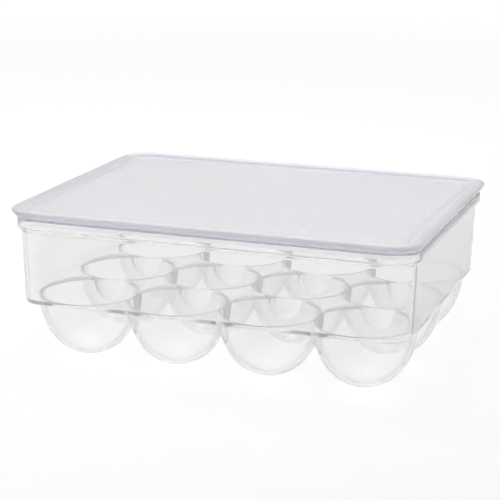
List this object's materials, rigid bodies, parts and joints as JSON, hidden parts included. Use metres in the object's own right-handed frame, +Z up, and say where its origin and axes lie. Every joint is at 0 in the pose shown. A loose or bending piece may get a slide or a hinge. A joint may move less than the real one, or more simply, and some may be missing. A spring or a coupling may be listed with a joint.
{
  "type": "egg keeper",
  "caption": "Clear covered egg tray: a bed of rounded cups hangs under the floor of a deep tray, with a ribbed lift-off lid resting on its stepped rim.",
  "frame": {"origin": "middle of the keeper in plan, on the surface that its cups stand on", "axes": "+X along the long side, +Y from the front wall to the back wall, +Z up"},
  "size_m": [0.238, 0.183, 0.089],
  "materials": {
    "clear_tray": "clear, glossy, colourless",
    "clear_lid": "clear, glossy, with a faint lavender edge"
  },
  "bodies": {
    "tray": {"tray_wall": "clear_tray", "egg_cup_1": "clear_tray", "egg_cup_2": "clear_tray", "egg_cup_3": "clear_tray", "egg_cup_4": "clear_tray", "egg_cup_5": "clear_tray", "egg_cup_6": "clear_tray", "egg_cup_7": "clear_tray", "egg_cup_8": "clear_tray", "egg_cup_9": "clear_tray", "egg_cup_10": "clear_tray", "egg_cup_11": "clear_tray", "egg_cup_12": "clear_tray"},
    "lid": {"lid": "clear_lid"}
  },
  "joints": [
    {"name": "lid_lift", "type": "slide", "parent": "tray", "child": "lid", "axis": [0, 0, 1], "range_m": [0, 0.1]}
  ]
}
